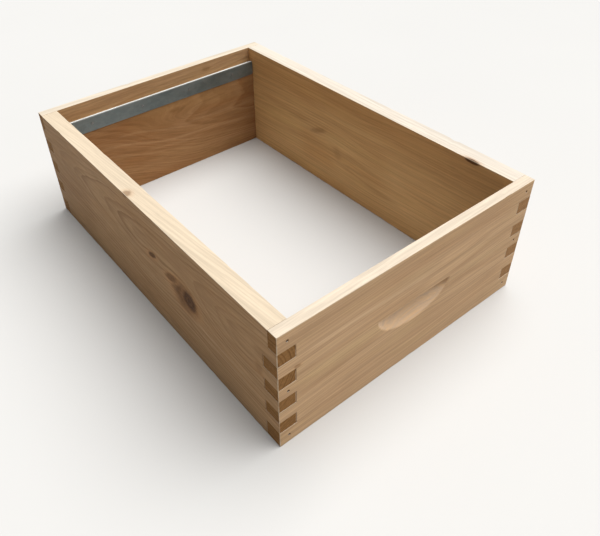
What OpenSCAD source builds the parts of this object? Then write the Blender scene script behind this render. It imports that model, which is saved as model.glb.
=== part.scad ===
// A hive super: the open wooden box that holds one layer of hanging frames.
// Four boards are locked together by finger joints and nails. Each end board has a
// rebate along the inside of its top edge, a sheet-metal rest for the frames' lugs
// tacked below it, and a scooped handhold in its outer face.
//
// Millimetres. +Z is up, +Y runs along the box, and the origin is the middle of the
// box's bottom face. The front end is at -Y and the left side is at -X.

/* [Box] */
// Width of the box across its two side boards
box_w = 356; // [260:1:480]
// Length of the box across its two end boards
box_l = 508; // [400:1:600]
// Height of the box
box_h = 157; // [130:1:260]
// Thickness of every board
board_t = 21; // [18:0.5:26]

/* [Finger joints] */
// Number of fingers at each end of an end board (a side board has one fewer)
end_fingers = 5; // [3:1:7]
// Height of an end board's top and bottom fingers, and the depth of its rebate
outer_finger_h = 22; // [19:0.5:26]

/* [Frame rebate] */
// Thickness of the end board that is left standing outside the rebate
rebate_wall_t = 12; // [9:0.5:14]

/* [Frame rests] */
// Height of a metal rest
rest_h = 22; // [18:0.5:26]
// Height that a rest stands above the floor of the rebate
rest_stand = 4; // [3:0.25:5]
// Thickness of the sheet metal
sheet_t = 0.8; // [0.5:0.1:1]
// Gap between each end of a rest and the side board
rest_end_gap = 1; // [0.5:0.5:4]
// Radius of a rest's four corners
rest_corner_r = 3; // [1:0.5:5]

/* [Handholds] */
// Width of a handhold along its straight upper ledge
handhold_w = 108; // [80:1:130]
// Depth of a handhold at the middle of its ledge
handhold_depth = 12; // [8:0.5:13]
// Height of a handhold from its lowest point to its ledge
handhold_h = 30; // [15:1:36]
// Height of the ledge above the bottom of the box
ledge_z = 90; // [45:1:95]

/* [Nails] */
// Length of a nail
nail_l = 50; // [40:1:60]
// Diameter of a nail's shank
nail_d = 2.2; // [1.6:0.1:3]
// Diameter of a nail's small head
nail_head_d = 3.2; // [3.1:0.1:5]
// Depth that a head is sunk below the face of the board
nail_sink = 0.8; // [0.4:0.1:2]
// Distance from a nail's middle to the outer face of the side board
nail_inset = 11.5; // [6:0.5:14]

/* [Tacks] */
// Number of tacks in each metal rest
rest_tacks_n = 4; // [2:1:8]
// Length of a tack below its head
tack_l = 14; // [8:0.5:16]
// Diameter of a tack's shank
tack_d = 1.4; // [1:0.1:2]
// Diameter of a tack's flat head
tack_head_d = 3.6; // [3:0.1:5]

/* [Hidden] */

$fn = 48;
// Distance that a cutting shape runs past the face it cuts
over = 1;

// A corner is a stack of bands, counted from the bottom: even bands are fingers of the
// end board and odd bands are fingers of the side board
bands = 2 * end_fingers - 1;
inner_band_h = (box_h - 2 * outer_finger_h) / (bands - 2);
// The bands that are nailed: the end board's lowest, middle and highest fingers
nailed_bands = [0, 2 * floor(end_fingers / 2), bands - 1];

rebate_floor_z = box_h - outer_finger_h;

rest_l = box_w - 2 * board_t - 2 * rest_end_gap;
rest_top_z = rebate_floor_z + rest_stand;
// The rest's top edge is folded back on itself, with a small gap left in the fold
fold_gap = 0.4;
fold_r = sheet_t + fold_gap / 2;
fold_floor_gap = 0.4;
fold_leg_h = rest_stand - fold_r - fold_floor_gap;

// A handhold is cut by a wheel with a rounded rim: the wheel's radius comes from the
// handhold's width and depth, and the rim's from its height and depth
wheel_r = arc_radius(handhold_w / 2, handhold_depth);
rim_r = arc_radius(handhold_h, handhold_depth);

nail_head_h = 1.4;
nail_tip_h = 4;
tip_d = 0.5;

tack_head_h = 0.6;
tack_tip_h = 3;
tack_z = rebate_floor_z - 7;
tack_pitch = rest_l / rest_tacks_n;

// Radius of the arc that rises by `rise` over a half chord of `half_chord`
function arc_radius(half_chord, rise) = (half_chord * half_chord + rise * rise) / (2 * rise);

function band_h(i) = (i == 0 || i == bands - 1) ? outer_finger_h : inner_band_h;
function band_z(i) = i == 0 ? 0 : outer_finger_h + (i - 1) * inner_band_h;
function is_top(i) = i == bands - 1;

// ---- helpers -------------------------------------------------------------------

module at_both_sides() {
    children();
    mirror([1, 0, 0]) children();
}

module at_both_ends() {
    children();
    mirror([0, 1, 0]) children();
}

// A block over band i at the front left corner, past the corner's outer faces, which
// reaches x_depth and y_depth into the box
module band_block(i, x_depth, y_depth) {
    low = i == 0 ? over : 0;
    high = is_top(i) ? over : 0;
    translate([-box_w / 2 - over, -box_l / 2 - over, band_z(i) - low])
        cube([x_depth + over, y_depth + over, band_h(i) + low + high]);
}

// ---- fasteners -----------------------------------------------------------------

// A nail driven along +Y, with its head's flat top at the origin
module nail() {
    rotate([-90, 0, 0]) {
        cylinder(h = nail_head_h, d = nail_head_d);
        cylinder(h = nail_l - nail_tip_h, d = nail_d);
        translate([0, 0, nail_l - nail_tip_h]) cylinder(h = nail_tip_h, d1 = nail_d, d2 = tip_d);
    }
}

// The row of nails at the front left corner, driven through the end board's fingers
// into the end of the side board
module corner_nails() {
    for (i = nailed_bands)
        translate([-box_w / 2 + nail_inset, -box_l / 2 + nail_sink, band_z(i) + band_h(i) / 2])
            nail();
}

// The same row as holes, open to the face of the end board
module corner_nail_holes() {
    corner_nails();
    for (i = nailed_bands)
        translate([-box_w / 2 + nail_inset, -box_l / 2 - over, band_z(i) + band_h(i) / 2])
            rotate([-90, 0, 0]) cylinder(h = nail_sink + over + nail_head_h, d = nail_head_d);
}

// A tack driven along -Y, with the underside of its head at the origin
module tack() {
    rotate([90, 0, 0]) {
        translate([0, 0, -tack_head_h]) cylinder(h = tack_head_h, d = tack_head_d);
        translate([0, 0, -tack_head_h / 2]) cylinder(h = tack_head_h / 2 + tack_l - tack_tip_h, d = tack_d);
        translate([0, 0, tack_l - tack_tip_h]) cylinder(h = tack_tip_h, d1 = tack_d, d2 = tip_d);
    }
}

// The row of tacks through the front rest
module rest_tacks() {
    for (k = [0 : rest_tacks_n - 1])
        translate([(k - (rest_tacks_n - 1) / 2) * tack_pitch, -box_l / 2 + board_t + sheet_t, tack_z])
            tack();
}

// ---- boards --------------------------------------------------------------------

// The wheel that scoops a handhold out of the front face, turning about an upright
// axis: its flat top makes the ledge and its rounded rim makes the hollow floor
module handhold_scoop() {
    translate([0, -box_l / 2 + handhold_depth - wheel_r, ledge_z])
        rotate_extrude($fn = 180) intersection() {
            translate([wheel_r - rim_r, 0]) circle(r = rim_r, $fn = 96);
            translate([wheel_r - rim_r, -rim_r]) square(rim_r);
        }
}

// The end board at -Y
module end_board() {
    difference() {
        translate([-box_w / 2, -box_l / 2, 0]) cube([box_w, board_t, box_h]);
        // rebate for the frames' lugs, along the whole board
        translate([-box_w / 2 - over, -box_l / 2 + rebate_wall_t, rebate_floor_z])
            cube([box_w + 2 * over, board_t, outer_finger_h + over]);
        // at each side the rebate opens into the gap just below its floor
        at_both_sides()
            translate([-box_w / 2 - over, -box_l / 2 + rebate_wall_t, rebate_floor_z - inner_band_h / 2])
                cube([board_t + over, board_t, inner_band_h]);
        // gaps for the side boards' fingers
        at_both_sides() for (i = [1 : 2 : bands - 2]) band_block(i, board_t, board_t + over);
        handhold_scoop();
        at_both_sides() corner_nail_holes();
        rest_tacks();
    }
}

// The side board at -X
module side_board() {
    difference() {
        translate([-box_w / 2, -box_l / 2, 0]) cube([board_t, box_l, box_h]);
        // gaps for the end boards' fingers: the top one is only as deep as the wall
        // outside the rebate, so the side board closes the end of the rebate
        at_both_ends() {
            for (i = [0 : 2 : bands - 3]) band_block(i, board_t + over, board_t);
            band_block(bands - 1, board_t + over, rebate_wall_t);
            corner_nail_holes();
        }
    }
}

module front_end_board() { color("tan") end_board(); }
module back_end_board() { color("tan") mirror([0, 1, 0]) end_board(); }
module left_side_board() { color("peru") side_board(); }
module right_side_board() { color("peru") mirror([1, 0, 0]) side_board(); }

// ---- metal rests ---------------------------------------------------------------

// Section through a rest, looking along it: a flat sheet whose top edge is folded back
// over the rebate
module rest_section() {
    translate([fold_gap + sheet_t, 0]) square([sheet_t, rest_h - fold_r]);
    translate([fold_r, rest_h - fold_r]) intersection() {
        difference() {
            circle(r = fold_r);
            circle(r = fold_gap / 2);
        }
        translate([-fold_r, 0]) square([2 * fold_r, fold_r]);
    }
    translate([0, rest_h - fold_r - fold_leg_h]) square([sheet_t, fold_leg_h]);
}

// Front view of a rest: a strip with rounded corners
module rest_outline() {
    translate([-rest_l / 2 + rest_corner_r, 0]) square([rest_l - 2 * rest_corner_r, rest_h]);
    translate([-rest_l / 2, rest_corner_r]) square([rest_l, rest_h - 2 * rest_corner_r]);
    for (x = [-1, 1], z = [rest_corner_r, rest_h - rest_corner_r])
        translate([x * (rest_l / 2 - rest_corner_r), z]) circle(r = rest_corner_r);
}

// The rest at -Y, against the inner face of the end board
module frame_rest() {
    back_y = -box_l / 2 + board_t - fold_gap - sheet_t;
    difference() {
        translate([0, 0, rest_top_z - rest_h]) intersection() {
            translate([-rest_l / 2, back_y, 0]) rotate([90, 0, 90]) linear_extrude(rest_l) rest_section();
            translate([0, back_y + 2 * fold_r + over, 0]) rotate([90, 0, 0])
                linear_extrude(2 * fold_r + 2 * over) rest_outline();
        }
        rest_tacks();
    }
}

module front_frame_rest() { color("slategray") frame_rest(); }
module back_frame_rest() { color("slategray") mirror([0, 1, 0]) frame_rest(); }

// ---- fasteners in place --------------------------------------------------------

module front_left_nails() { color("dimgray") corner_nails(); }
module front_right_nails() { color("dimgray") mirror([1, 0, 0]) corner_nails(); }
module back_left_nails() { color("dimgray") mirror([0, 1, 0]) corner_nails(); }
module back_right_nails() { color("dimgray") mirror([1, 0, 0]) mirror([0, 1, 0]) corner_nails(); }
module front_rest_tacks() { color("gray") rest_tacks(); }
module back_rest_tacks() { color("gray") mirror([0, 1, 0]) rest_tacks(); }

front_end_board();
back_end_board();
left_side_board();
right_side_board();
front_frame_rest();
back_frame_rest();
front_left_nails();
front_right_nails();
back_left_nails();
back_right_nails();
front_rest_tacks();
back_rest_tacks();
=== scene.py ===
"""Looks for the hive super: worn board meshes, procedural wood and metal, floor, light and camera."""

import math
from functools import reduce

import bmesh
import bpy
from mathutils import Matrix, Vector, noise


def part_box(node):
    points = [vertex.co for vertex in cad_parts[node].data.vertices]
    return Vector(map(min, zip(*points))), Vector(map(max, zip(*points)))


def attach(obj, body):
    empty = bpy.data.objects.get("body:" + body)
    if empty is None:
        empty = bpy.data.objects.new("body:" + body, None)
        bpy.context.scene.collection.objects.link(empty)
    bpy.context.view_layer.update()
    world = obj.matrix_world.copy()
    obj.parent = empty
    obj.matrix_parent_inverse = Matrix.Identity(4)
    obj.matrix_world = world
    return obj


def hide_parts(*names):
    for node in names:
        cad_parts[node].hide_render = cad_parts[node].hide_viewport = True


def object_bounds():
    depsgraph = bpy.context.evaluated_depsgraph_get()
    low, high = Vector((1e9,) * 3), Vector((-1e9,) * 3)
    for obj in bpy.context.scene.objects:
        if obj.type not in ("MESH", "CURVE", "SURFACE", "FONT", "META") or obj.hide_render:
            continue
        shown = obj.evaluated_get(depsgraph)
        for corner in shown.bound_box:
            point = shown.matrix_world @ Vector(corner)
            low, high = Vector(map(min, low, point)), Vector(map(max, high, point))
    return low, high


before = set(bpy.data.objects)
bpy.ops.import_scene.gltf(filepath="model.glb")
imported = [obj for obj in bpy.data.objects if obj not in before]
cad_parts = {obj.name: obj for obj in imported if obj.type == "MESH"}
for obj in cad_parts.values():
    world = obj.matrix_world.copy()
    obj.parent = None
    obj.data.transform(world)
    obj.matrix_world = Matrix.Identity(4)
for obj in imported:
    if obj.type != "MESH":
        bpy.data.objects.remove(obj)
cad_low, cad_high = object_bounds()

MM = 0.001
X, Y, Z = range(3)

# ---------------------------------------------------------------------------
# Sizes of the real box in millimetres
# ---------------------------------------------------------------------------
HALF_W = cad_high.x / MM
HALF_L = cad_high.y / MM
BOX_H = cad_high.z / MM

end_board_low, end_board_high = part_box("front_end_board")
BOARD_T = (end_board_high.y - end_board_low.y) / MM

_, rest_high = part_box("front_frame_rest")
REST_TOP = rest_high.z / MM

# A corner is a stack of finger ends, the end board's and the side board's by turns from the bottom
OUTER_BAND = 22.0
INNER_BANDS = 7
INNER_BAND = (BOX_H - 2 * OUTER_BAND) / INNER_BANDS
BAND_MIDDLES = [
    OUTER_BAND / 2,
    *(OUTER_BAND + (i + 0.5) * INNER_BAND for i in range(INNER_BANDS)),
    BOX_H - OUTER_BAND / 2,
]

# The handhold in an end board's outer face
HANDHOLD_HALF_W = 54.0
HANDHOLD_DEPTH = 12.0
HANDHOLD_H = 30.0
LEDGE_Z = 90.0


# ---------------------------------------------------------------------------
# Arithmetic inside a material's node tree
# ---------------------------------------------------------------------------
class Value:
    """A number inside a node tree, so that the recipes below read as arithmetic."""

    def __init__(self, tree, socket):
        self.tree = tree
        self.socket = socket

    def math(self, operation, *others):
        node = self.tree.nodes.new("ShaderNodeMath")
        node.operation = operation
        for place, term in zip(node.inputs, (self, *others)):
            join(self.tree, term, place)
        return Value(self.tree, node.outputs[0])

    def __add__(self, other):
        return self.math("ADD", other)

    def __sub__(self, other):
        return self.math("SUBTRACT", other)

    def __mul__(self, other):
        return self.math("MULTIPLY", other)

    def __truediv__(self, other):
        return self.math("DIVIDE", other)

    def __rsub__(self, other):
        return self * -1.0 + other

    def size(self):
        return self.math("ABSOLUTE")

    def root(self):
        return self.math("SQRT")

    def sine(self):
        return self.math("SINE")

    def least(self, other):
        return self.math("MINIMUM", other)

    def most(self, other):
        return self.math("MAXIMUM", other)

    def hump(self, steepness=1.0):
        """For a squared distance: 1 in the middle, falling smoothly to nothing all round it."""
        return (self * -steepness).math("EXPONENT")

    def ramp(self, low, high, start=0.0, end=1.0):
        """Smoothly from start where this is low to end where it is high."""
        node = self.tree.nodes.new("ShaderNodeMapRange")
        node.interpolation_type = "SMOOTHSTEP"
        for place, term in zip(node.inputs, (self, low, high, start, end)):
            join(self.tree, term, place)
        return Value(self.tree, node.outputs[0])

    def fade(self, low, high, amount=1.0):
        """Smoothly from amount where this is low to nothing where it is high."""
        return self.ramp(low, high, amount, 0.0)


def join(tree, term, place):
    """Sets an input socket from a number, a colour or another node's output."""
    if isinstance(term, Value):
        tree.links.new(term.socket, place)
    elif isinstance(term, bpy.types.NodeSocket):
        tree.links.new(term, place)
    elif isinstance(term, tuple):
        place.default_value = (*term, 1.0)
    else:
        place.default_value = term


def combine(tree, x, y, z):
    """A vector from three numbers."""
    node = tree.nodes.new("ShaderNodeCombineXYZ")
    for place, term in zip(node.inputs, (x, y, z)):
        join(tree, term, place)
    return node.outputs[0]


def split(tree, vector):
    """A vector's three numbers."""
    node = tree.nodes.new("ShaderNodeSeparateXYZ")
    tree.links.new(vector, node.inputs[0])
    return [Value(tree, output) for output in node.outputs]


def cloud_node(tree, place, detail, rough):
    """Smooth noise, one feature to the unit of place."""
    node = tree.nodes.new("ShaderNodeTexNoise")
    tree.links.new(place, node.inputs["Vector"])
    for name, amount in (("Scale", 1.0), ("Detail", detail), ("Roughness", rough)):
        node.inputs[name].default_value = amount
    return node


def cloud(tree, place, detail=2.0, rough=0.5):
    """One noise, about 0 to 1."""
    return Value(tree, cloud_node(tree, place, detail, rough).outputs["Fac"])


def three_clouds(tree, place, detail=2.0):
    """Three unlike noises of the same scale, about 0 to 1."""
    return split(tree, cloud_node(tree, place, detail, rough=0.5).outputs["Color"])


def blend(tree, share, first, second, mode="MIX"):
    """From the first colour towards the second, or with MULTIPLY towards the two multiplied."""
    node = tree.nodes.new("ShaderNodeMix")
    node.data_type = "RGBA"
    node.blend_type = mode
    share_input, first_input, second_input = (node.inputs[i] for i in (0, 6, 7))
    join(tree, share, share_input)
    join(tree, first, first_input)
    join(tree, second, second_input)
    return node.outputs[2]


def filtered(tree, colour, other):
    """A colour times another."""
    return blend(tree, 1.0, colour, other, "MULTIPLY")


def start_material(name):
    """A new material, with its node tree and its surface shader."""
    material = bpy.data.materials.new(name)
    material.use_nodes = True
    tree = material.node_tree
    return material, tree, tree.nodes["Principled BSDF"]


def object_place(tree):
    """Where a point is in its object, in millimetres."""
    source = tree.nodes.new("ShaderNodeTexCoord")
    return [part * (1 / MM) for part in split(tree, source.outputs["Object"])]


def relief(tree, surface, height, depth, strength):
    """Bump of that depth in millimetres, where height goes from 0 to 1."""
    node = tree.nodes.new("ShaderNodeBump")
    node.inputs["Strength"].default_value = strength
    node.inputs["Distance"].default_value = depth * MM
    join(tree, height, node.inputs["Height"])
    tree.links.new(node.outputs[0], surface.inputs["Normal"])


# ---------------------------------------------------------------------------
# Wood: its colours
# ---------------------------------------------------------------------------
EARLY = (0.600, 0.395, 0.222)  # the wide pale part of each ring
LATE = (0.385, 0.222, 0.108)  # the narrow dark part
GLEAM = (0.740, 0.520, 0.320)  # the palest wood, at the start of a ring
CALM = (0.520, 0.330, 0.178)  # wood whose rings hardly show
RED = (0.445, 0.225, 0.092)
STRAW = (0.620, 0.440, 0.220)
HEART_AND_SHADE = (0.620, 0.520, 0.440)  # how much light the heart side keeps; it also stands as painted shade on the inner face
END_PALE = (0.262, 0.134, 0.048)  # end grain
END_DARK = (0.142, 0.062, 0.017)
FRESH_AND_HIGHLIGHT = (0.610, 0.520, 0.400)  # newly cut wood, paled further as a painted highlight: the planed rims and the rubbed arrises
SCOOPED = (0.640, 0.465, 0.325)  # the handholds' fuzzy floor, paler partly as fresh-cut wood and partly as painted light from above
NOOK_PAINTED_SHADOW = (0.330, 0.190, 0.095)  # painted shadow at its far end under the ledge
KNOT_BROWN = (0.168, 0.074, 0.022)
KNOT_DARK = (0.066, 0.027, 0.009)
KNOT_SPLIT = (0.030, 0.012, 0.005)

WOOD_SHEEN = 0.06
WOOD_RELIEF = 0.22
KNIFE_PITCH = 2.4  # from one of the planer's knife marks to the next


# ---------------------------------------------------------------------------
# Wood: its recipe, one step to a function
# ---------------------------------------------------------------------------
class BoardSpace:
    """Where a point is in its board, in millimetres, and the noises that the steps of the recipe share.

    u runs along the grain, v runs up and w runs inwards from the outer face.
    """

    def __init__(self, tree, board):
        along, across, outer = board["along"], board["across"], board["outer"]
        place = object_place(tree)
        source = tree.nodes.new("ShaderNodeTexCoord")
        facing = split(tree, source.outputs["Normal"])
        self.tree = tree
        self.board = board
        self.seed = board["seed"]
        self.u = place[along]
        self.v = place[Z]
        self.depth = place[across]
        self.w = self.depth + abs(outer) if outer < 0 else abs(outer) - self.depth
        self.upward = facing[Z].size()
        self.lengthways = facing[along].size()
        self.slow = [part - 0.5 for part in three_clouds(tree, self.along_grain(230, 60), 1.5)]
        self.quick = [part - 0.5 for part in three_clouds(tree, self.along_grain(70, 11, 3.1))]
        self.patch = cloud(tree, self.along_grain(160, 34, 1.7))
        self.wide = cloud(tree, self.along_grain(90, 16, 9.3))

    def along_grain(self, run, width, shift=0.0):
        """A place for noise whose features are that long and that wide."""
        seed = self.seed
        return combine(self.tree, self.u / run + (seed + shift), self.v / width + seed, self.w / width)


def knot_reach(space, knot):
    """How far a point is from a knot's middle, where 1 is its rim, and the point's bearing round it."""
    middle_u, middle_v, middle_w = knot["at"]
    radius_u, radius_v, radius_w = knot["size"]
    tilt = math.radians(knot.get("tilt", 0))
    uneven = 0.35
    off_u = space.u - middle_u + space.quick[0] * (uneven * radius_u)
    off_v = space.v - middle_v + space.quick[2] * (uneven * radius_v)
    lengthwise = (off_u * math.cos(tilt) + off_v * math.sin(tilt)) / radius_u
    crosswise = (off_v * math.cos(tilt) - off_u * math.sin(tilt)) / radius_v
    inward = (space.w - middle_w) / radius_w
    reach = (lengthwise * lengthwise + crosswise * crosswise + inward * inward).root()
    return reach, crosswise.math("ARCTAN2", lengthwise)


def pith_offsets(space):
    """How far a point is above the tree's pith, which runs askew to the board, and how far in from it."""
    board = space.board
    pith_v, pith_w = board["pith"]
    lean_v, lean_w = board["lean"]
    sway, ripple = board["sway"], 1.5
    rise = space.v - pith_v - space.u * lean_v + space.slow[1] * sway + space.quick[1] * ripple
    sink = space.w - pith_w - space.u * lean_w + space.slow[2] * sway + space.quick[2] * ripple
    if "drift" in board:
        start, end, drop, fade_low, fade_high = board["drift"]
        rise = rise + space.u.ramp(start, end) * space.v.fade(fade_low, fade_high, drop)
    return rise, sink


def ring_radius(space, rise, sink, reaches):
    """How far out from the pith a point's ring is, pushed aside by swells and knots."""
    radius = (rise * rise + sink * sink).root()
    for middle_u, middle_v, radius_u, radius_v, lift in space.board["swells"]:
        off_u = (space.u - middle_u) / radius_u
        off_v = (space.v - middle_v) / radius_v
        radius = radius + (off_u * off_u + off_v * off_v).hump() * lift
    for knot, (reach, _) in zip(space.board["knots"], reaches):
        radius = radius + (reach * reach).hump(0.22) * knot["pull"]
    return radius


class Rings:
    """The tree's rings.

    part is how far a point is through its ring, strong is how marked that ring is, late is the dark wood
    at the ring's end, and bands are runs of darker rings.
    """

    def __init__(self, space, radius):
        tree, seed = space.tree, space.seed
        unevenness = three_clouds(tree, combine(tree, radius / 9.0 + seed, seed, 0.0))
        turn = radius / space.board["spacing"] + unevenness[0] * 3.2
        lot = tree.nodes.new("ShaderNodeTexWhiteNoise")
        lot.noise_dimensions = "1D"
        join(tree, turn.math("FLOOR") + seed, lot.inputs["W"])
        self.part = turn.math("FRACT")
        self.strong = Value(tree, lot.outputs["Value"]) * 0.65 + 0.35
        self.late = self.part.ramp(0.30, 0.90) * self.part.fade(0.93, 1.0) * self.strong
        self.bands = unevenness[1].ramp(0.35, 0.68)


class Fibre:
    """Finer noises: threads and streaks that follow the rings, pores, and flecks in the knots."""

    def __init__(self, space, rise, sink):
        tree, u, v, w, seed = space.tree, space.u, space.v, space.w, space.seed
        self.threads = cloud(tree, combine(tree, u / 26.0 + seed, rise / 0.45, sink / 0.45), 3.0, 0.6)
        self.streaks = cloud(tree, combine(tree, u / 190.0 + seed, rise / 2.6, sink / 2.6), 2.5, 0.55)
        self.pores = cloud(tree, combine(tree, u / 4.0, v / 0.35, space.depth / 0.35), 2.0, 0.7)
        self.flecks = cloud(tree, combine(tree, u / 5.0 + seed, v / 3.0, w / 5.0), 3.0, 0.6)


def ring_colour(space, rings):
    """Early and late wood, a gleam at the start of the weaker rings, and slow changes of tone."""
    tree, board = space.tree, space.board
    gleam = rings.part.ramp(0.0, 0.06) * rings.part.fade(0.06, 0.30) * (1.0 - rings.strong).ramp(0.25, 0.65)
    colour = blend(tree, rings.late * board["contrast"], EARLY, LATE)
    colour = blend(tree, rings.bands * board["banding"], colour, LATE)
    colour = blend(tree, gleam * board["gleam"], colour, GLEAM)
    colour = blend(tree, space.patch.ramp(0.42, 0.72, 0.0, board["red"]), colour, RED)
    return blend(tree, space.wide.ramp(0.45, 0.75, 0.0, board["straw"]), colour, STRAW)


def add_streaks(space, fibre, colour):
    """The board's own soft lines along the grain."""
    tree, u = space.tree, space.u
    for (start_u, start_v), (end_u, end_v), width, amount, pigment in space.board["streaks"]:
        line = u.ramp(start_u, end_u, start_v, end_v)
        off = (space.v - line + space.slow[1] * 6.0 + space.quick[1] * 3.0) / width
        body = (off * off).hump() * u.ramp(start_u - 18, start_u + 18) * u.fade(end_u - 22, end_u + 22)
        colour = blend(tree, body * fibre.threads.ramp(0.3, 0.7, 0.75, 1.0) * amount, colour, pigment)
    return colour


def add_tones(space, colour):
    """The darker heart side, which is also painted shade on the inner face, a red blush towards the top, and
    the board's own tint, which holds painted shade on the left board and painted bounce light on the right
    board's inner face.
    """
    tree, board = space.tree, space.board
    # the deeper side darker: heart wood, and painted shade on the box's inner face
    if "heart_and_shade" in board:
        shallow, deep, amount = board["heart_and_shade"]
        share = (space.w + space.quick[2] * 3.0).ramp(shallow, deep, 0.0, amount)
        colour = blend(tree, share, colour, HEART_AND_SHADE, "MULTIPLY")
    if "blush" in board:
        low_v, high_v, amount = board["blush"]
        share = (space.v + space.quick[1] * 22.0).ramp(low_v, high_v, 0.0, amount)
        colour = blend(tree, share, colour, RED)
    tint = board["tint"]
    # towards the inner face the tint turns brighter and warmer: painted bounce light inside the box
    if "outer_tint" in board:
        tint = blend(tree, space.w.ramp(4.0, BOARD_T - 4.0), board["outer_tint"], tint)
    return filtered(tree, colour, tint)


def add_cut_faces(space, rings, fibre, colour):
    """Planed edges at the top and bottom, paler partly as freshly planed wood and partly as a painted
    highlight of the light from above, and sawn end grain.
    """
    tree, board = space.tree, space.board
    # painted highlight: faces turned up or down paler, partly fresh planing, tinted per board towards a
    # washed-out white
    planed_and_highlit = filtered(tree, FRESH_AND_HIGHLIGHT, board.get("rim_highlight_tint", (1.0, 1.0, 1.0)))
    colour = blend(tree, space.upward.ramp(0.75, 0.95, 0.0, 0.88), colour, planed_and_highlit)
    dark_share = (rings.late * 0.8 + fibre.pores.ramp(0.35, 0.7) * 0.35).least(1.0)
    ends = blend(tree, dark_share, END_PALE, END_DARK)
    ends = blend(tree, board["pale_ends"], ends, LATE)
    return blend(tree, space.lengthways.ramp(0.6, 0.9), colour, ends)


def add_handhold(space, fibre, colour):
    """The fuzzy floor that the cutter left, paler partly as fresh-cut wood and partly as painted light, with
    more painted light towards one end over the ledge's shadow, and a painted shadow at the other end under
    the ledge.
    """
    tree, u, v, w = space.tree, space.u, space.v, space.w
    middle_z = LEDGE_Z - HANDHOLD_H / 2
    scooped = w.ramp(0.15, 1.2) * w.fade(HANDHOLD_DEPTH + 0.5, HANDHOLD_DEPTH + 2)
    scooped = scooped * u.size().fade(HANDHOLD_HALF_W + 2, HANDHOLD_HALF_W + 6)
    scooped = scooped * (v - middle_z).size().fade(HANDHOLD_H / 2 + 3, HANDHOLD_H / 2 + 4.5)
    # painted light: the floor paler towards the ledge, away from the right end, where the ledge's shadow
    # falls
    painted_light_end = scooped * v.ramp(LEDGE_Z - 24, LEDGE_Z - 4) * u.fade(10.0, 45.0)
    # painted shadow: the ledge's shadow on the far end of the floor, as dark brown
    painted_nook_shadow = scooped * (v + space.quick[1] * 3.0).ramp(LEDGE_Z - 14, LEDGE_Z - 5)
    painted_nook_shadow = painted_nook_shadow * (u + space.quick[0] * 10.0).ramp(10.0, 34.0)
    # the floor paler than the face: partly fresh-cut wood, partly painted light on the upturned slope
    fuzz = blend(tree, fibre.streaks.ramp(0.3, 0.7), SCOOPED, EARLY)
    colour = blend(tree, scooped * 0.72, colour, fuzz)
    colour = blend(tree, painted_light_end * 0.45, colour, SCOOPED)
    return blend(tree, painted_nook_shadow * 0.85, colour, NOOK_PAINTED_SHADOW)


def knot_colour(space, fibre, knot, reach, bearing, colour):
    """A knot's dark rings, its darker rim and its drying cracks, in reddened wood, and where the knot is."""
    tree, strength, soft = space.tree, knot["strength"], knot.get("soft", 0.18)
    edge = reach + (fibre.flecks - 0.5) * 0.5
    body = edge.fade(0.95 - soft, 0.95 + soft * 0.6) * strength
    halo = edge.fade(0.9, knot.get("halo", 1.9)) * (0.40 * strength)
    rings = (edge * 15.0).sine().ramp(-1.0, 1.0)
    rim = edge.ramp(0.50, 0.82) * edge.fade(0.88, 1.05)
    cracks = (bearing * 1.5 + fibre.flecks * 4.0).sine().size().fade(0.0, 0.22) * reach.fade(0.15, 0.75)
    centre = blend(tree, rings * 0.35 + rim * 0.45 + knot.get("dark", 0.0), KNOT_BROWN, KNOT_DARK)
    centre = blend(tree, cracks * 0.8, centre, KNOT_SPLIT)
    colour = blend(tree, halo, colour, RED)
    return blend(tree, body, colour, centre), body


def add_knots(space, fibre, reaches, colour):
    """The board's knots, and how much knot there is at a point."""
    bodies = []
    for knot, (reach, bearing) in zip(space.board["knots"], reaches):
        colour, body = knot_colour(space, fibre, knot, reach, bearing, colour)
        bodies.append(body)
    return colour, reduce(Value.most, bodies)


def add_rubbed_and_highlit_arrises(space, colour):
    """Arrises painted pale, partly as rubbed by handling and partly as a painted highlight along the corners.
    A point's gaps are how far it is from each pair of faces.
    """
    half_run = HALF_W if space.board["along"] == X else HALF_L
    gap_u = half_run - space.u.size()
    gap_v = space.v.least(BOX_H - space.v)
    gap_w = space.w.least(BOARD_T - space.w)
    second_least = gap_u.least(gap_v).most(gap_u.most(gap_v).least(gap_w))
    # painted highlight along the arrises, partly handling wear
    rubbed_and_highlit = (second_least - space.quick[1] * 1.2).fade(0.25, 1.15, 0.62)
    return blend(space.tree, rubbed_and_highlit * space.wide.ramp(0.25, 0.6, 0.35, 1.0), colour, FRESH_AND_HIGHLIGHT)


def add_grey_tone(space, fibre, colour):
    """Fine light and dark that leaves the hue alone."""
    tone = fibre.streaks.ramp(0.25, 0.75, 0.86, 1.10) * fibre.threads.ramp(0.2, 0.8, 0.93, 1.06)
    return filtered(space.tree, colour, combine(space.tree, tone, tone, tone))


def wood_roughness(space, rings, fibre, knotty):
    """Satin late wood and knots, and dull end grain."""
    rough = fibre.threads.ramp(0.2, 0.8, 0.56, 0.70) - rings.late * 0.08
    return rough + space.lengthways.ramp(0.6, 0.9, 0.0, 0.14) - knotty * 0.14


def wood_height(space, rings, fibre):
    """Raised fibres and late wood, the planer's knife marks, and pitted end grain."""
    knife = ((space.u + space.quick[0] * 9.0) * (2 * math.pi / KNIFE_PITCH)).sine() * 0.025
    pitted = fibre.pores * space.lengthways.ramp(0.6, 0.9, 0.0, 0.8)
    return fibre.threads * 0.45 + rings.late * 0.35 + knife + pitted


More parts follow.
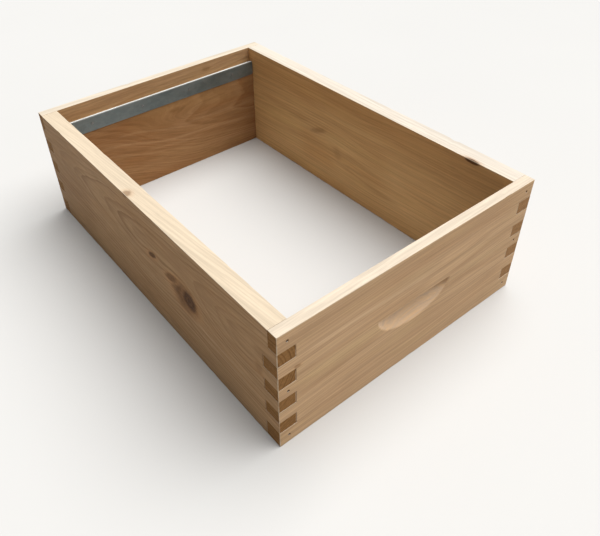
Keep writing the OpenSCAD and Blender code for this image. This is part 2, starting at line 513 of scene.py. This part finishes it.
def wood(name, board):
    """A softwood board's material, solid right through it, so that its faces agree at every edge."""
    material, tree, surface = start_material(name)
    space = BoardSpace(tree, board)
    reaches = [knot_reach(space, knot) for knot in board["knots"]]
    rise, sink = pith_offsets(space)
    rings = Rings(space, ring_radius(space, rise, sink, reaches))
    fibre = Fibre(space, rise, sink)

    colour = ring_colour(space, rings)
    colour = add_streaks(space, fibre, colour)
    colour = add_tones(space, colour)
    colour = add_cut_faces(space, rings, fibre, colour)
    if board["along"] == X:
        colour = add_handhold(space, fibre, colour)
    colour, knotty = add_knots(space, fibre, reaches, colour)
    colour = add_rubbed_and_highlit_arrises(space, colour)
    colour = add_grey_tone(space, fibre, colour)

    join(tree, colour, surface.inputs["Base Color"])
    join(tree, wood_roughness(space, rings, fibre, knotty), surface.inputs["Roughness"])
    surface.inputs["Specular IOR Level"].default_value = WOOD_SHEEN
    relief(tree, surface, wood_height(space, rings, fibre), WOOD_RELIEF, strength=0.8)
    return material


# ---------------------------------------------------------------------------
# Wood: the four boards. Places are (u, v) or (u, v, w), in millimetres.
#   along, across, outer      axes of the grain and of the thickness, and where the outer face is on the
#                             second one
#   pith, lean, sway          the pith's place as (v, w), its slope along the board, and how far it wanders
#   drift                     between two u the rings shift by a third number, fading out between two v
#   spacing                   from ring to ring
#   contrast, banding, gleam, red, straw, pale_ends     how strong each of those looks is
#    tint, outer_tint, rim_highlight_tint                how much light the board, its outer face and its
#                                                        planed edges keep; the rim tint whitens the rims as a
#                                                        painted highlight
#    heart_and_shade, blush    between two w, or two v, that tone grows to a third number; the heart side is
#                              also painted shade on the inner face
#   swells                    middle u and v, half-length, half-height, and how far the rings are pushed
#   streaks                   one end, the other end, half-width, strength and colour
#   knots                     middle, three radii, tilt in degrees, pull on the rings, and how they look
# ---------------------------------------------------------------------------
BOARDS = {
    "front_end_board": dict(
        along=X, across=Y, outer=-HALF_L, seed=11.3,
        pith=(-250.0, 45.0), lean=(0.035, 0.02), sway=14.0,
        spacing=3.7, contrast=0.44, banding=0.26, gleam=0.30, red=0.16, straw=0.22, pale_ends=0.0,
        tint=(0.86, 0.86, 0.885), rim_highlight_tint=(1.02, 1.05, 1.12),
        swells=[(-60, 66, 70, 30, -5.0), (60, 102, 60, 28, 6.0), (20, 60, 60, 18, -5.0)],
        streaks=[
            ((-150, 78), (-50, 80), 11.0, 0.40, STRAW),
            ((-140, 117), (20, 115), 2.2, 0.45, GLEAM),
            ((-165, 93), (-80, 92), 2.2, 0.42, LATE),
            ((-160, 60), (-48, 68), 3.0, 0.50, LATE),
            ((55, 95), (150, 105), 3.0, 0.40, LATE),
            ((60, 77), (150, 66), 2.6, 0.32, LATE),
            ((-40, 134), (150, 138), 6.0, 0.22, LATE),
            ((-150, 30), (60, 34), 3.0, 0.25, LATE),
        ],
        knots=[
            dict(at=(-155.5, 105, 0), size=(4.5, 2.4, 8), tilt=-12, pull=1.2, strength=0.42, soft=0.4),
        ],
    ),
    "back_end_board": dict(
        along=X, across=Y, outer=HALF_L, seed=27.9,
        pith=(118.0, -42.0), lean=(-0.02, 0.07), sway=11.0, drift=(-125, 60, 40.0, 84, 122),
        spacing=4.3, contrast=0.56, banding=0.32, gleam=0.38, red=0.40, straw=0.20, pale_ends=0.15,
        # the heart side darkens the inner face: heart wood, and painted shade inside the box
        tint=(0.905, 0.865, 0.79), rim_highlight_tint=(1.0, 1.06, 1.15), heart_and_shade=(9, 19, 0.90),
        swells=[(10, 106, 24, 9, 5.0)],
        streaks=[
            ((-110, 81), (20, 56), 2.0, 0.60, GLEAM),
            ((-80, 92), (30, 72), 1.8, 0.45, GLEAM),
            ((10, 56), (150, 47), 2.4, 0.55, GLEAM),
            ((30, 75), (150, 72), 2.0, 0.45, GLEAM),
            ((-40, 53), (40, 46), 1.8, 0.40, GLEAM),
            ((-60, 108), (110, 104), 12.0, 0.35, STRAW),
            ((-100, 66), (30, 40), 3.0, 0.30, LATE),
            ((-90, 107), (-24, 101), 7.0, 0.35, RED),
            ((-120, 68), (-10, 44), 1.8, 0.40, GLEAM),
            ((50, 88), (160, 84), 5.0, 0.30, RED),
            ((-172, 149), (172, 149), 10.0, 0.18, SCOOPED),
        ],
        knots=[
            dict(at=(16, 102, 21), size=(14, 5.5, 20), tilt=6, pull=5.0, strength=0.34, halo=2.4, soft=0.7),
            dict(at=(77, 146, 12), size=(8, 4, 8), pull=1.5, strength=0.34, halo=2.0, soft=0.6),
        ],
    ),
    "left_side_board": dict(
        along=Y, across=X, outer=-HALF_W, seed=5.7,
        pith=(112.0, -51.0), lean=(0.0, -0.08), sway=9.0,
        spacing=3.7, contrast=0.85, banding=0.22, gleam=0.25, red=0.24, straw=0.12, pale_ends=0.0,
        # tint darker than the other boards: painted shade, for the shade on the box's left side
        tint=(0.655, 0.62, 0.575),
        swells=[(-235, 92, 22, 14, 4.0)],
        streaks=[
            ((-205, 58), (-110, 60), 1.6, 0.35, GLEAM),
            ((-230, 47), (-120, 50), 1.6, 0.35, GLEAM),
            ((-225, 52), (-115, 56), 1.8, 0.40, LATE),
            ((135, 80), (300, 80), 75.0, 0.40, LATE),
            ((-264, 110), (-82, 120), 30.0, 0.50, CALM),
        ],
        knots=[
            dict(at=(-96, 84, 0), size=(27, 20, 60), tilt=4, pull=10.0, strength=0.90, halo=1.5, soft=0.55),
            dict(at=(-106, 85, 0), size=(14.5, 14.5, 60), tilt=30, pull=2.0, strength=0.97, halo=1.3,
                 soft=0.45, dark=0.55),
            dict(at=(-71, 94, 0), size=(15, 5.5, 60), tilt=-22, pull=1.5, strength=0.78, soft=0.5),
            dict(at=(-33, 100, 0), size=(9.5, 4, 30), tilt=-20, pull=2.6, strength=0.95, halo=2.4,
                 soft=0.4, dark=0.3),
            dict(at=(-226, 94, 0), size=(6, 7.5, 20), pull=1.0, strength=0.30, soft=0.6),
            dict(at=(11, 157, 2), size=(6.5, 5, 6.5), pull=1.5, strength=0.55, soft=0.4),
        ],
    ),
    "right_side_board": dict(
        along=Y, across=X, outer=HALF_W, seed=41.2,
        pith=(-210.0, 60.0), lean=(-0.01, 0.0), sway=15.0,
        spacing=4.6, contrast=0.36, banding=0.27, gleam=0.26, red=0.22, straw=0.22, pale_ends=0.5,
        # tint brightens and warms the inner face as painted bounce light; outer_tint keeps the outer face
        # plainer
        tint=(1.10, 1.07, 0.875), outer_tint=(0.93, 0.915, 0.90), rim_highlight_tint=(1.02, 1.12, 1.30),
        blush=(70, 150, 0.45),
        swells=[(62, 90, 75, 40, -11.0), (-40, 45, 60, 26, 5.0)],
        streaks=[
            ((100, 88), (215, 92), 5.0, 0.45, LATE),
            ((110, 68), (225, 66), 5.0, 0.35, STRAW),
            ((-80, 39), (20, 46), 3.2, 0.55, LATE),
            ((-60, 116), (60, 117), 3.0, 0.40, GLEAM),
            ((40, 44), (110, 40), 16.0, 0.35, RED),
            ((-150, 66), (-20, 72), 5.0, 0.25, LATE),
            ((-262, 62), (-62, 62), 58.0, 0.24, GLEAM),
        ],
        knots=[
            dict(at=(75, 83, 21), size=(18, 4.5, 30), tilt=-22, pull=4.0, strength=0.36, halo=2.8, soft=0.7),
            dict(at=(33, 62, 21), size=(8, 10, 30), tilt=-30, pull=2.0, strength=0.18, halo=2.4, soft=0.7),
            dict(at=(-187, 155.8, 21), size=(11, 3.2, 3.6), pull=1.5, strength=0.95, soft=0.35, dark=0.35),
        ],
    ),
}

# ---------------------------------------------------------------------------
# Board meshes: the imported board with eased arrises, small dents and finger ends that are not quite flush
# ---------------------------------------------------------------------------
SAME_POINT = 2e-6
FLAT = math.radians(0.2)
SHARP = math.radians(38)
ARRIS = 0.45 * MM
SHORTEST_ARRIS = 5 * MM
GRID = 7.0 * MM  # about how far apart the cuts across a board are
OUTERMOST_CUT = 1.4 * MM  # how far the last cuts are from the board's sides
NEAR_END = 0.6 * MM
NEAR_ARRIS = 0.5 * MM

RECESS_LEAST = 0.05  # millimetres, of a finger's end
RECESS_SPREAD = 0.26
RUB_DEPTH = 0.25  # millimetres
RUBS_TO_THE_METRE = 38
KNOCK_DEPTH = 2.2  # millimetres, for noise that is 1 above the threshold
KNOCKS_TO_THE_METRE = 95
KNOCK_THRESHOLD = 0.36


def steady_share(*numbers):
    """A share from 0 to 1 that is always the same for the same three numbers."""
    return noise.noise(Vector([number * 1.37 + 0.71 for number in numbers])) * 0.5 + 0.5


def clean_copy(node):
    """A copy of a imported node's mesh, and a bmesh of it with one face to each flat side."""
    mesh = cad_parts[node].data.copy()
    mesh.name = node + "_wood"
    mesh.materials.clear()
    shape = bmesh.new()
    shape.from_mesh(mesh)
    bmesh.ops.remove_doubles(shape, verts=shape.verts, dist=SAME_POINT)
    bmesh.ops.dissolve_limit(shape, angle_limit=FLAT, verts=shape.verts, edges=shape.edges)
    return mesh, shape


def is_arris(edge):
    """Whether an edge is one of the board's straight outer corners."""
    line = edge.verts[1].co - edge.verts[0].co
    long_enough = line.length > SHORTEST_ARRIS
    square_to_board = max(abs(part) for part in line.normalized()) > 0.9999
    outer_corner = len(edge.link_faces) == 2 and edge.is_convex
    return outer_corner and edge.calc_face_angle(0.0) > math.radians(60) and long_enough and square_to_board


def ease_arrises(shape):
    """Rounds the outer corners off a little."""
    arrises = [edge for edge in shape.edges if is_arris(edge)]
    bmesh.ops.bevel(shape, geom=arrises, offset=ARRIS, segments=2, profile=0.6, affect="EDGES",
                    clamp_overlap=False)


def slice_across(shape, axis, low, high):
    """Cuts the mesh right across in even steps along an axis, so that it can be worn."""
    normal = Vector([float(i == axis) for i in range(3)])
    steps = int((high - low) / GRID)
    cuts = [low + (i + 0.5) * (high - low) / steps for i in range(steps)]
    for at in cuts + [low + OUTERMOST_CUT, high - OUTERMOST_CUT]:
        bmesh.ops.bisect_plane(shape, geom=shape.verts[:] + shape.edges[:] + shape.faces[:],
                               plane_co=normal * at, plane_no=normal, dist=1e-7)


def recess_finger_end(vert, board, low, high):
    """A finger's end stands a little below the face beside it."""
    along = board["along"]
    if min(vert.co[along] - low[along], high[along] - vert.co[along]) >= NEAR_END:
        return
    inward = 1 if vert.co[along] < 0 else -1
    lowest_finger = 0 if along == X else 1
    fingers = range(lowest_finger, len(BAND_MIDDLES), 2)
    finger = min(fingers, key=lambda i: abs(BAND_MIDDLES[i] * MM - vert.co.z))
    drop = RECESS_LEAST + RECESS_SPREAD * steady_share(finger, board["seed"], inward)
    vert.co[along] += inward * drop * MM


def wear_arris(vert, board, low, gaps):
    """Rubbed places and knocks along the arrises. gaps says how far the faces are, the nearest first."""
    second_gap, _ = gaps[1]
    if second_gap >= NEAR_ARRIS:
        return
    seed = board["seed"]
    rub = max(0.0, noise.noise(vert.co * RUBS_TO_THE_METRE + Vector((seed, 0, 0))))
    knock = max(0.0, noise.noise(vert.co * KNOCKS_TO_THE_METRE + Vector((0, seed, 0))) - KNOCK_THRESHOLD)
    push = (rub * RUB_DEPTH + knock * KNOCK_DEPTH) * MM
    for gap, axis in gaps[:2]:
        if axis != board["along"]:
            at_low_face = vert.co[axis] - low[axis] < gap + 1e-6
            vert.co[axis] += push if at_low_face else -push


def wear(shape, board, low, high):
    """Moves the board's points to where years of use would have left them."""
    for vert in shape.verts:
        gaps = sorted((min(vert.co[i] - low[i], high[i] - vert.co[i]), i) for i in range(3))
        recess_finger_end(vert, board, low, high)
        wear_arris(vert, board, low, gaps)


def put_in_order(parts, key):
    """Sorts a mesh's points, edges or faces, and numbers them."""
    places = {part: number for number, part in enumerate(sorted(parts, key=key))}
    parts.sort(key=places.get)
    parts.index_update()


def settle_order(shape):
    """Orders the mesh's parts by nothing but where they are, so that every run writes the same mesh."""
    put_in_order(shape.verts, lambda vert: tuple(vert.co))
    for parts in (shape.edges, shape.faces):
        put_in_order(parts, lambda part: sorted(vert.index for vert in part.verts))


def smooth_faces(shape):
    """Smooth shading that stops at the sharper edges."""
    for face in shape.faces:
        face.smooth = True
    for edge in shape.edges:
        edge.smooth = edge.calc_face_angle(0.0) < SHARP


def board_piece(node, board):
    """A worn wooden board in place of a packed one."""
    mesh, shape = clean_copy(node)
    low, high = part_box(node)
    ease_arrises(shape)
    for axis in (Z, board["along"]):
        slice_across(shape, axis, low[axis], high[axis])
    wear(shape, board, low, high)
    smooth_faces(shape)
    settle_order(shape)
    shape.to_mesh(mesh)
    shape.free()
    mesh.materials.append(wood(node + "_wood", board))
    piece = bpy.data.objects.new(node + "_wood", mesh)
    bpy.context.scene.collection.objects.link(piece)
    normals = piece.modifiers.new("face_normals", "WEIGHTED_NORMAL")
    normals.keep_sharp = True
    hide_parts(node)
    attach(piece, "root")
    "end_board_wood" if board["along"] == X else "side_board_wood"


for board_name, board_spec in BOARDS.items():
    board_piece(board_name, board_spec)


# ---------------------------------------------------------------------------
# Metal
# ---------------------------------------------------------------------------
ZINC = (0.134, 0.164, 0.166)
ZINC_PALE = (0.186, 0.216, 0.214)
ZINC_CRYSTAL = (0.232, 0.264, 0.264)
ZINC_RUBBED = (0.104, 0.126, 0.128)
ZINC_FOLD_HIGHLIGHT = (0.580, 0.600, 0.600)


def galvanised():
    """Dull zinc: a mottle of faint crystals, rub marks along the rolled length, and a paler fold at the top,
    partly worn and partly a painted highlight of the light from above.
    """
    material, tree, surface = start_material("galvanised_sheet_zinc")
    x, y, z = object_place(tree)
    crystal = tree.nodes.new("ShaderNodeTexVoronoi")
    crystal.feature = "F1"
    tree.links.new(combine(tree, x / 7.0, y / 7.0, z / 5.0), crystal.inputs["Vector"])
    crystal.inputs["Scale"].default_value = 1.0
    spangle = split(tree, crystal.outputs["Color"])[0]
    haze = cloud(tree, combine(tree, x / 34.0, y / 30.0, z / 13.0), 3.0, 0.6)
    rubs = cloud(tree, combine(tree, x / 45.0, y / 0.8, z / 0.8), 3.0, 0.6)
    # painted highlight along the folded top edge, with some wear
    fold_highlight = z.ramp(REST_TOP - 2.5, REST_TOP - 0.5)
    tone = blend(tree, haze.ramp(0.3, 0.7), ZINC, ZINC_PALE)
    tone = blend(tree, spangle * 0.25, tone, ZINC_CRYSTAL)
    tone = blend(tree, rubs.ramp(0.55, 0.8, 0.0, 0.30), tone, ZINC_RUBBED)
    tone = blend(tree, fold_highlight * 0.75, tone, ZINC_FOLD_HIGHLIGHT)
    join(tree, tone, surface.inputs["Base Color"])
    surface.inputs["Metallic"].default_value = 0.55
    join(tree, haze.ramp(0.3, 0.7, 0.42, 0.60) - spangle * 0.08, surface.inputs["Roughness"])
    relief(tree, surface, haze * 0.6 + rubs * 0.25 + spangle * 0.1, 0.10, strength=0.6)
    return material


def steel(name, clean, rust, rusted, rough):
    """Small steel heads, partly rusted. rusted is how much of the rust's colour its spots take."""
    material, tree, surface = start_material(name)
    spot_size = 1.1
    spots = cloud(tree, combine(tree, *(part / spot_size for part in object_place(tree))), 4.0, 0.65)
    share = spots.ramp(0.35, 0.68, 0.0, rusted)
    join(tree, blend(tree, share, clean, rust), surface.inputs["Base Color"])
    surface.inputs["Metallic"].default_value = 0.7
    join(tree, share * 0.3 + rough, surface.inputs["Roughness"])
    relief(tree, surface, spots, 0.08, strength=0.7)
    return material


def dress(node, material):
    """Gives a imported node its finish."""
    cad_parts[node].material_slots[0].material = material


zinc = galvanised()
nail_iron = steel("nail_iron", (0.100, 0.078, 0.060), (0.100, 0.044, 0.018), rusted=0.8, rough=0.62)
tack_zinc = steel("tack_zinc", (0.270, 0.285, 0.285), (0.130, 0.105, 0.085), rusted=0.7, rough=0.48)
for end in ("front", "back"):
    dress(end + "_frame_rest", zinc)
    dress(end + "_rest_tacks", tack_zinc)
    for side in ("left", "right"):
        dress(f"{end}_{side}_nails", nail_iron)

# ---------------------------------------------------------------------------
# Floor and light
# ---------------------------------------------------------------------------
FLOOR_HALF = 9.0  # metres
FLOOR_GAP = 0.05 * MM  # under the box, so that the two never lie in one plane
FLOOR_TONES = (0.556, 0.556, 0.554), (0.568, 0.568, 0.566)
AMBIENT = 0.28  # the room's light on the object
BACKDROP = 0.95  # the room as the camera sees it


def floor_paper():
    """Pale paper, very slightly uneven in tone."""
    material, tree, surface = start_material("floor_paper")
    source = tree.nodes.new("ShaderNodeTexCoord")
    mottle = cloud(tree, source.outputs["Object"], 3.0, 0.6)
    join(tree, blend(tree, mottle.ramp(0.3, 0.7), *FLOOR_TONES), surface.inputs["Base Color"])
    join(tree, mottle.ramp(0.3, 0.7, 0.85, 0.95), surface.inputs["Roughness"])
    surface.inputs["Specular IOR Level"].default_value = 0.1
    return material


def make_floor():
    """A wide flat sheet under the box."""
    mesh = bpy.data.meshes.new("floor")
    half, level = FLOOR_HALF, cad_low.z - FLOOR_GAP
    corners = [(-half, -half, level), (half, -half, level), (half, half, level), (-half, half, level)]
    mesh.from_pydata(corners, [], [(0, 1, 2, 3)])
    mesh.materials.append(floor_paper())
    floor = bpy.data.objects.new("floor", mesh)
    bpy.context.scene.collection.objects.link(floor)


def soft_sun(name, source, spread, strength, colour):
    """A broad distant light, so that the floor is as bright far off as near. spread is in degrees."""
    lamp = bpy.data.lights.new(name, "SUN")
    lamp.angle = math.radians(spread)
    lamp.energy = strength
    lamp.color = colour
    light = bpy.data.objects.new(name, lamp)
    bpy.context.scene.collection.objects.link(light)
    light.location = source
    light.rotation_mode = "QUATERNION"
    light.rotation_quaternion = (-Vector(source)).to_track_quat("-Z", "Y")


def light_room():
    """Even white light from all round, brighter where the camera sees the room itself."""
    world = bpy.data.worlds.new("studio")
    bpy.context.scene.world = world
    world.use_nodes = True
    tree = world.node_tree
    background = tree.nodes["Background"]
    path = tree.nodes.new("ShaderNodeLightPath")
    level = Value(tree, path.outputs["Is Camera Ray"]) * (BACKDROP - AMBIENT) + AMBIENT
    background.inputs["Color"].default_value = (1.0, 1.0, 1.0, 1.0)
    join(tree, level, background.inputs["Strength"])


make_floor()
soft_sun("key_dome", source=(0.72, -0.20, 1.80), spread=64.0, strength=4.75, colour=(1.0, 0.985, 0.955))
light_room()

# ---------------------------------------------------------------------------
# Camera
# ---------------------------------------------------------------------------
SENSOR = 36.0  # millimetres
FOCAL_LENGTH = 37.742  # millimetres
SHIFT_X, SHIFT_Y = 0.04069, -0.06242  # shares of the picture's longer side
CAMERA_AT = Vector((-0.38298, -0.53096, 0.54631))
HEADING, PITCH, ROLL = (math.radians(angle) for angle in (36.935, -38.738, -1.936))


def make_camera():
    """Looks down on the front left corner. The heading turns from +Y towards +X."""
    lens = bpy.data.cameras.new("camera")
    lens.sensor_width = SENSOR
    lens.lens = FOCAL_LENGTH
    lens.shift_x, lens.shift_y = SHIFT_X, SHIFT_Y
    lens.clip_start, lens.clip_end = 0.01, 50.0
    lens.dof.use_dof = False
    camera = bpy.data.objects.new("camera", lens)
    bpy.context.scene.collection.objects.link(camera)
    raised = Matrix.Rotation(math.pi / 2 + PITCH, 4, "X") @ Matrix.Rotation(ROLL, 4, "Z")
    turned = Matrix.Rotation(-HEADING, 4, "Z") @ raised
    camera.matrix_world = Matrix.Translation(CAMERA_AT) @ turned
    bpy.context.scene.camera = camera


make_camera()
bpy.context.scene.view_settings.view_transform = "Standard"
bpy.context.scene.view_settings.look = "None"
